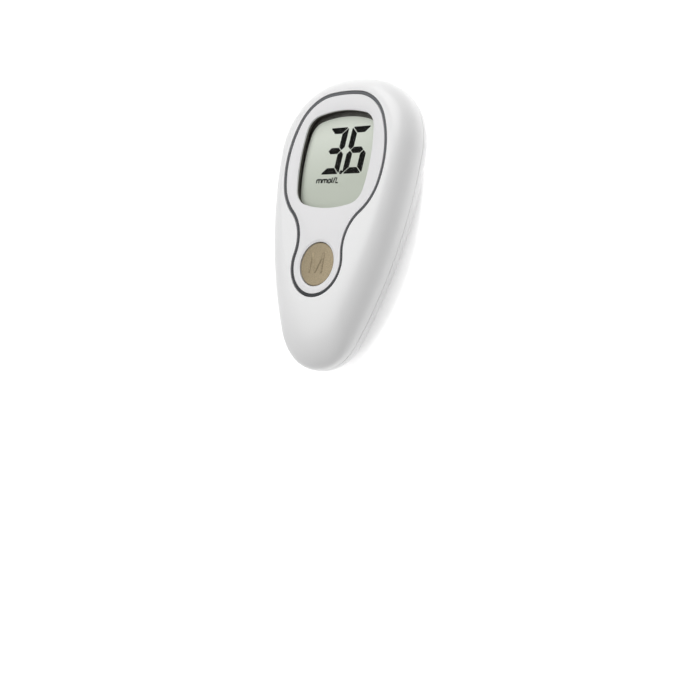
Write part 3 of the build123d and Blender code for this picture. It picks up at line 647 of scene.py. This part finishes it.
button_low, button_high = box_mm("memory_button")
button_place = Vector((0, (button_low.y + button_high.y) / 2))
flange_width, flange_height = 0.9, 1.0
flange_gap = 0.075           # under the front cover
front_wall = 2.2             # of the front cover
cap_radius = button_high.x - flange_width
cap_crown = 0.25             # rise of the cap's middle over its rim
cap_wall = 1.3
cap_round = 0.25
plunger_radius = 1.5
hole_gap = 0.2               # round the cap
dish_width, dish_depth = 0.75, 0.2
letter_height, letter_width, letter_rise, letter_relief = 5.5, 4.7, 0.4, 0.25
stroke_flat, stroke_slope = 0.16, 0.24


def make_faceplate():
    """Thin plate with rounded rims, a window whose edge is dark, and a dish round the button."""
    low, high = box_mm("faceplate")
    rim = 0.12
    hole = cap_radius + hole_gap
    dish_rim = hole + dish_width
    bm = bmesh.new()
    turns = [math.radians(a) for a in (0, 30, 60, 90)]
    outer = [loop(bm, keyhole(-ring_width), low.z)]
    inner = [loop(bm, window(), low.z)]
    for a in turns:
        z = high.z - rim * (1 - math.sin(a))
        outer.append(loop(bm, keyhole(-ring_width - rim * (1 - math.cos(a))), z))
        inner.append(loop(bm, window(rim * (1 - math.cos(a)) / 2), z))
    dish = [loop(bm, circle(button_place, hole), low.z)]
    for share in (0, 0.12, 0.3, 0.5, 0.7, 0.88, 1):
        z = high.z - dish_depth * (1 - share * share * (3 - 2 * share))
        dish.append(loop(bm, circle(button_place, hole + (dish_rim - hole) * share), z))
    skin(bm, outer)
    skin(bm, inner, material=1)
    skin(bm, dish)
    for level in (0, -1):
        fill(bm, [outer[level], inner[level], dish[level]])
    add_piece("face_sheet", bm, "faceplate_pale", ["faceplate"], ["bezel_charcoal"])


def make_button():
    """Crowned cap with a letter M raised in its top, a flange that keeps it in, and a plunger inside."""
    x, y = letter_width / 2, letter_height / 2
    corners = [Vector(p) for p in ((-x, -y), (-x, y), (0, -y), (x, y), (x, -y))]
    strokes = list(zip(corners, corners[1:]))
    ball = (cap_radius**2 + cap_crown**2) / (2 * cap_crown)
    top = button_high.z - letter_relief

    def crown(radius):
        return top - ball + math.sqrt(ball**2 - radius**2)

    rows = 76                    # close enough to draw the letter
    reach = cap_radius - cap_round
    face = [(reach * row / rows, crown(reach * row / rows)) for row in range(rows + 1)]
    rim = crown(reach)
    flange_top = box_mm("front_cover")[1].z - front_wall - flange_gap
    flange_low = flange_top - flange_height
    roof, wall, edge_round = rim - cap_wall, cap_radius - cap_wall, 0.1
    under = softened([(cap_radius, rim - cap_round), (cap_radius, flange_top),
                      (button_high.x, flange_top), (button_high.x, flange_low), (wall, flange_low),
                      (wall, roof), (plunger_radius, roof), (plunger_radius, button_low.z),
                      (0, button_low.z)], edge_round)
    turns = [math.radians(a) for a in (30, 60)]
    edge = [(reach + cap_round * math.sin(a), rim - cap_round + cap_round * math.cos(a)) for a in turns]
    bm = bmesh.new()
    rings = turned(bm, [*face, *edge, *under], button_place)
    letter_place = button_place + Vector((0, letter_rise))
    emboss(rings[:rows], strokes, letter_place, stroke_flat, stroke_slope, letter_relief)
    add_piece("button_cap", bm, "button_champagne", ["memory_button"], body="button", smooth_angle=50)


# ---- display

def make_painted_window_shadow():
    """Black sheet under the lens, a painted shadow of the window's top edge. Its opening sits low, so
    that it shows above the display as a dark band.
    """
    thickness, gap, overlap, shadow_drop = 0.02, 0.003, 1.8, 1.3
    top = box_mm("display_lens")[0].z - gap
    bm = bmesh.new()
    outer = [loop(bm, window(overlap), z) for z in (top - thickness, top)]
    inner = [loop(bm, [p - Vector((0, shadow_drop)) for p in window()], z) for z in (top - thickness, top)]
    skin(bm, outer)
    skin(bm, inner)
    for level in (0, 1):
        fill(bm, [outer[level], inner[level]])
    add_piece("lens_print", bm, "bezel_charcoal")


def rounded_outline(corners, inset, radius, steps=5):
    """Convex outline moved in all round, with rounded corners. The corners run counterclockwise."""
    points = []
    for before, here, after in zip(corners[-1:] + corners[:-1], corners, corners[1:] + corners[:1]):
        first, second = [Vector((side.y, -side.x)).normalized() for side in (here - before, after - here)]
        centre = here - (first + second) * (inset + radius) / (1 + first.dot(second))
        begin = math.atan2(first.y, first.x)
        turn = math.remainder(math.atan2(second.y, second.x) - begin, 2 * math.pi)
        angles = [begin + turn * i / steps for i in range(steps + 1)]
        points += [centre + radius * Vector((math.cos(a), math.sin(a))) for a in angles]
    return points


def segments(width, height, upright, level, lit):
    """Outlines of the lit segments of one digit about its middle, with rounded corners and thin gaps."""
    w, h = width / 2, height / 2
    top = [(w, h), (-w, h), (-w + upright, h - level), (w - upright, h - level)]
    middle = [(w - upright / 2, 0), (w - upright, level / 2), (-w + upright, level / 2),
              (-w + upright / 2, 0), (-w + upright, -level / 2), (w - upright, -level / 2)]
    side = [(w, h), (w - upright, h - level), (w - upright, level / 2), (w - upright / 2, 0),
            (w, level / 2)]
    shapes = {"top": (top, 1, 1), "bottom": (top, 1, -1), "middle": (middle, 1, 1),
              "upper right": (side, 1, 1), "lower right": (side, 1, -1),
              "upper left": (side, -1, 1), "lower left": (side, -1, -1)}
    half_gap, corner = 0.12, 0.22
    outlines = []
    for outline, flip_x, flip_y in (shapes[name] for name in lit):
        corners = [Vector((x * flip_x, y * flip_y)) for x, y in outline]
        outlines.append(rounded_outline(corners[::flip_x * flip_y], half_gap, corner))
    return outlines


def make_reading():
    """The reading 3.6 in leaning seven-segment digits, with a round point between them."""
    low, high = box_mm("lcd_segments")
    middle = Vector((1.95, window_centre_y + 3.1))
    width, height, upright, level = 7.75, 14.4, 2.42, 2.1
    slant, half_pitch, point_x, point_radius = 0.09, 4.45, 0.15, 0.6
    three = ("top", "upper right", "middle", "lower right", "bottom")
    six = ("top", "upper left", "middle", "lower left", "lower right", "bottom")
    shapes = [[Vector((x, 0)) + point for point in outline]
              for x, lit in ((-half_pitch, three), (half_pitch, six))
              for outline in segments(width, height, upright, level, lit)]
    shapes.append(circle(Vector((point_x, point_radius - height / 2)), point_radius, 36))
    bm = bmesh.new()
    for outline in shapes:
        leaning = [middle + point + Vector((slant * point.y, 0)) for point in outline]
        layered(bm, [(leaning, low.z), (leaning, high.z)])
    add_piece("reading", bm, "segment_black", ["lcd_segments"])


def make_unit_mark():
    """The unit mmol/L under the reading, drawn in strokes as dark as the segments."""
    low, high = box_mm("lcd_segments")
    stroke, x_height, tall, past, hump, slant = 0.45, 1.1, 1.6, 0.1, 0.95, 0.12
    second_m, round_x, round_half, upright_x = 2.3, 5.15, 0.55, 6.15
    slash_low, slash_high, foot_start, foot_end, edge = 6.75, 7.25, 7.85, 8.75, 0.005
    turns = [math.radians(a) for a in range(0, 361, 30)]

    def arch(x):
        top = [(x + hump / 2 * (1 - math.cos(a)), x_height - hump / 2 * (1 - math.sin(a)))
               for a in turns[:len(turns) // 2 + 1]]
        return [*top, (x + hump, 0)]

    def letter_m(x):
        return [[(x, 0), (x, x_height)], arch(x), arch(x + hump)]

    ring = [(round_x + round_half * math.cos(a), x_height / 2 * (1 + math.sin(a))) for a in turns]
    lines = [*letter_m(0), *letter_m(second_m), ring, [(upright_x, 0), (upright_x, tall)],
             [(slash_low, -past), (slash_high, tall + past)],
             [(foot_start, tall), (foot_start, 0), (foot_end, 0)]]
    start = Vector((-7.75, window_centre_y - 6.6))
    middle_z = (low.z + high.z) / 2
    leaning = [[(start.x + x + slant * y, start.y + y, middle_z) for x, y in line] for line in lines]
    mesh = grown(bead_tree("segment_black"), path_curve("unit_lines", leaning), Width=stroke * MM,
                 Height=(high.z - low.z) * MM, Round=edge * MM)
    add_piece("unit_mark", mesh, "segment_black")


# ---- battery

def make_coin_cell():
    """Crimped can and cap of the cell, with a plain plus sign pressed into the can."""
    low, high = box_mm("coin_cell")
    middle = ((low + high) / 2).xy
    radius = high.x
    arm, sign_flat, sign_slope, sign_depth, sign_rim = 1.7, 0.2, 0.12, 0.08, 0.6
    crimp_width, crimp_slope, cap_step, groove, edge_round = 1.3, 0.7, 0.5, 0.1, 0.35
    strokes = [(Vector((-arm, 0)), Vector((arm, 0))), (Vector((0, -arm)), Vector((0, arm)))]
    rows, fine_radius = 30, arm + sign_rim
    flat = [(fine_radius * row / rows, low.z) for row in range(rows)]
    can_top, cap_edge = high.z - cap_step, radius - crimp_width
    rest = softened([(fine_radius, low.z), (radius, low.z), (radius, can_top - groove),
                     (radius - crimp_slope, can_top), (cap_edge + 2 * groove, can_top),
                     (cap_edge + groove, can_top - 1.5 * groove), (cap_edge, can_top - groove / 2),
                     (cap_edge, high.z), (0, high.z)], edge_round)
    bm = bmesh.new()
    rings = turned(bm, [*flat, *rest], middle)
    emboss(rings[:rows], strokes, middle, sign_flat, sign_slope, sign_depth)
    add_piece("cell_can", bm, "cell_steel", ["coin_cell"], smooth_angle=50)


# ---- springs

def coil(start, end, radius, turns, wire_radius, steps=24):
    """Points of a helix along +Y whose end turns lie close."""
    points = []
    close = 2.1 * wire_radius
    open_pitch = (end - start - 2 * close) / (turns - 2)
    for step in range(turns * steps + 1):
        turn = step / steps
        along = open_pitch * min(max(turn - 1, 0), turns - 2)
        along += close * (min(turn, 1) + max(turn - turns + 1, 0))
        a = 2 * math.pi * turn
        points.append((radius * math.sin(a), start + along, radius * math.cos(a)))
    return points


def make_ejector_spring():
    """Compression spring of the ejector."""
    low, high = box_mm("ejector_spring")
    wire_radius, turns, travel = 0.15, 6, 5.5
    middle_z = (low.z + high.z) / 2
    start, end, radius = low.y + wire_radius, high.y - wire_radius, high.x - wire_radius
    line = [(x, y, z + middle_z) for x, y, z in coil(start, end, radius, turns, wire_radius)]
    mesh = grown(wire_tree("spring_steel"), path_curve("spring_line", [line]), Radius=wire_radius * MM,
                 Sides=10)
    spring = add_piece("return_spring", mesh, "spring_steel", ["ejector_spring"])
    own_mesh(spring)


def make_dome_switch():
    """Snap dome pressed from thin steel: a crowned shell on a narrow foot."""
    low, high = box_mm("dome_switch")
    middle = ((low + high) / 2).xy
    rise = high.z - low.z
    sheet, foot_width, travel = 0.08, 0.4, 0.5
    turns = [math.radians(a) for a in range(0, 91, 15)]
    reach = high.x - foot_width
    outside = [(reach * math.sin(a), low.z + sheet + (rise - sheet) * math.cos(a)) for a in turns]
    inside = [(max(r - sheet, 0), z - sheet) for r, z in reversed(outside)]
    bm = bmesh.new()
    turned(bm, [*outside, (high.x, low.z + sheet), (high.x, low.z), *inside], middle, 72)
    dome = add_piece("snap_dome", bm, "spring_steel", ["dome_switch"], smooth_angle=50)
    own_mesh(dome)


# ---- parts on the board

def make_chip(name, node, leads, pitch):
    """Moulded package with its gull-wing leads, hung under the board."""
    low, high = box_mm(node)
    middle = ((low + high) / 2).xy
    reach, standoff, draft, bevel, seam, corner = 0.8, 0.1, 0.12, 0.1, 0.08, 0.25
    dot_inset, dot_radius, dot_foot, dot_depth = 0.9, 0.35, 0.3, 0.08
    lead_width, lead_sheet, lead_edge, lead_bend = 0.3, 0.16, 0.03, 0.15
    root, shoulder, heel = 0.2, 0.22, 0.36     # of a lead, from the package's side
    width, length = high.x - low.x - 2 * reach, high.y - low.y
    top = high.z - standoff
    centre_z = (low.z + top) / 2
    bm = bmesh.new()
    layers = ((2.2 * draft, low.z), (draft, low.z + bevel), (0, centre_z - seam), (0, centre_z + seam),
              (draft, top))
    rings = layered(bm, [(rectangle(middle, width - 2 * inset, length - 2 * inset, corner - inset / 2), z)
                         for inset, z in layers], capped=False)
    dot_place = middle + Vector((width / 2 - dot_inset, length / 2 - dot_inset))
    dot = [loop(bm, circle(dot_place, radius, 24), z)
           for radius, z in ((dot_radius, low.z), (dot_foot, low.z + dot_depth))]
    skin(bm, dot)
    fill(bm, [rings[0], dot[0]])
    bm.faces.new(dot[1])
    bm.faces.new(rings[-1])
    add_piece(f"{name}_body", bm, "chip_black", [node])
    foot_z = high.z - lead_sheet / 2
    bends = softened([(-root, centre_z), (shoulder, centre_z), (heel, foot_z), (reach, foot_z)],
                     lead_bend)
    lines = [[(middle.x + side * (width / 2 + x), 0, z) for x, z in bends] for side in (-1, 1)]
    lead = grown(bead_tree("contact_nickel"), path_curve(f"{name}_lead", lines), Width=lead_width * MM,
                 Height=lead_sheet * MM, Round=lead_edge * MM)
    start = Vector((0, middle.y - pitch * (leads - 1) / 2, 0)) * MM
    step = Vector((0, pitch, 0)) * MM
    mesh = grown(row_tree("contact_nickel"), lead, Count=leads, Start=start, Step=step)
    add_piece(f"{name}_leads", mesh, "contact_nickel")


def make_passives():
    """Small resistors and capacitors: ceramic bodies with tinned ends, in two rows."""
    low, high = box_mm("chip_passives")
    length, width, end, inset = 1.6, 0.9, 0.3, 0.03
    body_round, end_round, count, pitch = 0.04, 0.06, 4, 2.4
    bodies, ends = bmesh.new(), bmesh.new()
    body_half = Vector((length / 2 - end / 2, width / 2 - inset, -inset))
    end_half = Vector((end / 2, width / 2, 0))
    for side in (-1, 1):
        x = side * (high.x - length / 2)
        middle_low, middle_high = Vector((x, 0, low.z)), Vector((x, 0, high.z))
        brick(bodies, middle_low - body_half, middle_high + body_half, body_round)
        for out in (Vector(((end - length) / 2, 0, 0)), Vector(((length - end) / 2, 0, 0))):
            brick(ends, middle_low + out - end_half, middle_high + out + end_half, end_round)
    start = Vector((0, low.y + width / 2, 0)) * MM
    step = Vector((0, pitch, 0)) * MM
    for name, bm, slot, replaced in (("passive_bodies", bodies, "passive_ceramic", ["chip_passives"]),
                                     ("passive_ends", ends, "contact_nickel", [])):
        mesh = grown(row_tree(slot), to_mesh(bm, name), Count=count, Start=start, Step=step)
        add_piece(name, mesh, slot, replaced)


def make_crystal():
    """Pressed can of the clock crystal, with rounded edges and corners."""
    low, high = box_mm("clock_crystal")
    edge, corner = 0.2, 0.6
    bm = bmesh.new()
    brick(bm, low, high, edge, corner)
    add_piece("crystal_can", bm, "crystal_can", ["clock_crystal"], smooth_angle=60)


def make_buzzer():
    """Round housing with a sound hole towards the back."""
    low, high = box_mm("buzzer")
    middle = ((low + high) / 2).xy
    hole_radius, hole_depth, rim_width, rim_step, edge = 0.9, 0.9, 0.9, 0.15, 0.12
    floor_z, step_z, inner = low.z + hole_depth, low.z + rim_step, high.x - rim_width
    profile = softened([(0, floor_z), (hole_radius, floor_z), (hole_radius, low.z), (inner, low.z),
                        (inner, step_z), (high.x, step_z), (high.x, high.z), (0, high.z)], edge)
    bm = bmesh.new()
    turned(bm, profile, middle, 96)
    add_piece("buzzer_housing", bm, "buzzer_black", ["buzzer"])


# ---- screws

def one_screw(head_r, shank_r, seat, head_height, top, pitch):
    """Pan-head screw with a cross recess and a cut thread, at the origin."""
    centre = Vector((0, 0))
    low = seat - head_height
    crown_r, rim, tip_r = head_r * 0.78, 0.1, 0.15
    arm, half_slot, depth, narrowing = head_r * 0.6, 0.22, 0.55, 0.62
    core, sunk, run_out = shank_r * 0.78, 0.97, 0.2
    bm = bmesh.new()
    profile = softened([(crown_r, low), (head_r, low + rim), (head_r, seat), (core, seat),
                        (core, top - shank_r), (tip_r, top), (0, top)], head_height * 0.35)
    rings = turned(bm, profile, centre, 48)

    def cross(size, z):
        a, w = arm * size, half_slot * size
        corners = ((a, -w), (a, w), (w, w), (w, a), (-w, a), (-w, w),
                   (-a, w), (-a, -w), (-w, -w), (-w, -a), (w, -a), (w, -w))
        return loop(bm, [Vector(p) for p in corners], z)

    recess = [cross(1, low), cross(narrowing, low + depth)]
    skin(bm, recess)
    fill(bm, [rings[0], recess[0]])
    fill(bm, [recess[1]])
    turns = (top - shank_r - seat - run_out) / pitch
    steps = round(turns * 20)
    angles = [2 * math.pi * turns * i / steps for i in range(steps + 1)]
    start = seat + run_out
    helix = [(sunk * core * math.cos(a), sunk * core * math.sin(a), start + pitch * a / (2 * math.pi))
             for a in angles]
    thread = grown(wire_tree("screw_zinc"), path_curve("thread_line", [helix]), Sides=4,
                   Radius=(shank_r - core) * MM)
    bm.from_mesh(thread)
    return to_mesh(bm, "one_screw", 30)


def make_screws(name, node, head_r, shank_r, head_height, pitch, foot_x):
    """Equal screws: two at the top of their box, and one or two, foot_x off the axis, at its foot."""
    low, high = box_mm(node)
    side_x, top_y, foot_y = high.x - head_r, high.y - head_r, low.y + head_r
    places = [(-side_x, top_y), (side_x, top_y), *[(x, foot_y) for x in sorted({-foot_x, foot_x})]]
    points = bpy.data.meshes.new(f"{name}_places")
    points.from_pydata([(x * MM, y * MM, 0) for x, y in places], [], [])
    holder = placed(f"{name}_places", points)
    screw = one_screw(head_r, shank_r, low.z + head_height, head_height, high.z, pitch)
    group = grown(scatter_tree("screw_zinc"), screw, Places=holder)
    bpy.data.objects.remove(holder)
    add_piece(name, group, "screw_zinc", [node])


make_trim_ring()
make_faceplate()
make_button()
make_painted_window_shadow()
make_reading()
make_unit_mark()
make_coin_cell()
make_ejector_spring()
make_dome_switch()
make_chip("controller", "microcontroller", 10, 0.65)
make_chip("amplifier", "measurement_amplifier", 7, 0.65)
make_chip("memory", "memory_chip", 4, 1.2)
make_passives()
make_crystal()
make_buzzer()
make_screws("cover_screws", "case_screws",
            head_r=1.85, shank_r=0.95, head_height=1.3, pitch=0.8, foot_x=0)
make_screws("small_screws", "board_screws",
            head_r=1.4, shank_r=0.75, head_height=0.8, pitch=0.6, foot_x=6.4)

# ---- stage, lamps and camera

camera_place = Vector((227.64, -62.25, 245.71))
picture_back = Vector((0.66655, -0.07824, 0.74134))     # from the meter towards the camera
picture_up = Vector((-0.07307, 0.98283, 0.16942))
lens_length = 57.96                                      # on a 36 mm sensor

# Lamps: name, direction from the meter, distance, side of the square panel, share of plain level
lamps = [
    ("key", (0.00, 0.73, 0.68), 620, 560, 0.57),
    ("left", (-0.47, 0.00, 0.88), 620, 420, 0.26),
    ("foot", (0.00, -0.79, 0.62), 620, 420, 0.06),
    ("under", (0.25, -0.35, -0.90), 620, 420, 0.50),     # for the back, seen through the table
]
ambient = 0.25               # of the world, on matt surfaces


def set_camera():
    """Camera at the given viewing angle, rolled so that the display end is up."""
    data = bpy.data.cameras.new("camera")
    data.lens = lens_length
    data.sensor_width = 36
    data.clip_start, data.clip_end = 0.01, 10
    camera = placed("camera", data)
    right = picture_up.cross(picture_back).normalized()
    turn = Matrix((right, picture_up, picture_back)).transposed()
    camera.matrix_world = Matrix.Translation(camera_place * MM) @ turn.to_4x4()
    scene.camera = camera


def set_lamps():
    """Square soft panels, each giving its share of the plain level on a surface that faces it."""
    target = Vector((0, 0, 8)) * MM
    for name, direction, distance, side, share in lamps:
        data = bpy.data.lights.new(name, "AREA")
        data.size = side * MM
        away = Vector(direction).normalized()
        # A lamp of area A and radiance L gives an irradiance of L*A/d^2, and its power is pi*L*A.
        data.energy = share * math.pi * math.pi * (distance * MM) ** 2
        lamp = placed(name, data)
        lamp.matrix_world = (Matrix.Translation(target + away * distance * MM)
                             @ away.to_track_quat("Z", "Y").to_matrix().to_4x4())


def seen_rays(tree):
    """1 for rays that show the background: from the camera, in gloss and through glass."""
    light = add(tree, "ShaderNodeLightPath").outputs
    both = calc(tree, "MAXIMUM", light["Is Camera Ray"], light["Is Glossy Ray"])
    return calc(tree, "MAXIMUM", both, light["Is Transmission Ray"])


def set_world():
    """White to the eye and in reflections, and a weak even light on matt surfaces."""
    world = bpy.data.worlds.new("studio")
    scene.world = world
    tree = empty_tree(world)
    strength = ramp(tree, seen_rays(tree), ambient, 1.0)
    sky = add(tree, "ShaderNodeBackground", {"Color": (1, 1, 1, 1), "Strength": strength})
    add(tree, "ShaderNodeOutputWorld", {"Surface": sky})


def set_floor():
    """Wide white table that keeps the meter's shadow, fades to white far away and is clear from below.

    Close to the meter's right side it glows, as a white card laid there would, and lights the flank.
    """
    half, level, white = 3000 * MM, -0.05 * MM, 0.88
    oval = (1, 0.6, 1)                       # turns the meter's outline into about a circle
    card_side, card_start, card_full, card_glow = (0.8, -0.6, 0), -0.5, 0.4, 0.6
    inner_start, inner_end, outer_start, outer_end = 24 * MM, 30 * MM, 36 * MM, 50 * MM
    far_start, far_end, far_glow = 60 * MM, 800 * MM, 0.45
    mesh = bpy.data.meshes.new("floor")
    corners = [(-half, -half, level), (half, -half, level), (half, half, level), (-half, half, level)]
    mesh.from_pydata(corners, [], [(0, 1, 2, 3)])
    floor = placed("floor", mesh)
    material = bpy.data.materials.new("white_table")
    tree = empty_tree(material)
    place = add(tree, "ShaderNodeTexCoord").outputs["Object"]
    place = add(tree, "ShaderNodeVectorMath", {0: place, 1: oval}, operation="MULTIPLY")
    away = add(tree, "ShaderNodeVectorMath", {0: place}, operation="LENGTH").outputs["Value"]
    heading = add(tree, "ShaderNodeVectorMath", {0: place}, operation="NORMALIZE")
    card = span(tree, project(tree, heading, card_side), card_start, card_full, 0, card_glow)
    rise = span(tree, away, inner_start, inner_end)
    fall = span(tree, away, outer_start, outer_end, 1, 0)
    near = calc(tree, "MULTIPLY", card, calc(tree, "MULTIPLY", rise, fall))
    far = span(tree, away, far_start, far_end, far_glow, 1)
    shown = calc(tree, "MULTIPLY_ADD", seen_rays(tree), far, near)
    paper = add(tree, "ShaderNodeBsdfDiffuse", {"Color": (white, white, white, 1)})
    glow = add(tree, "ShaderNodeEmission", {"Strength": shown})
    table = add(tree, "ShaderNodeAddShader", {0: paper, 1: glow})
    clear = add(tree, "ShaderNodeBsdfTransparent")
    below = add(tree, "ShaderNodeNewGeometry").outputs["Backfacing"]
    depth = add(tree, "ShaderNodeLightPath").outputs["Transparent Depth"]
    hidden = calc(tree, "GREATER_THAN", calc(tree, "MAXIMUM", below, depth), 0.5)
    mix = add(tree, "ShaderNodeMixShader", {0: hidden, 1: table, 2: clear})
    add(tree, "ShaderNodeOutputMaterial", {"Surface": mix})
    mesh.materials.append(material)


set_camera()
set_lamps()
set_world()
set_floor()
scene.view_settings.view_transform = "Standard"
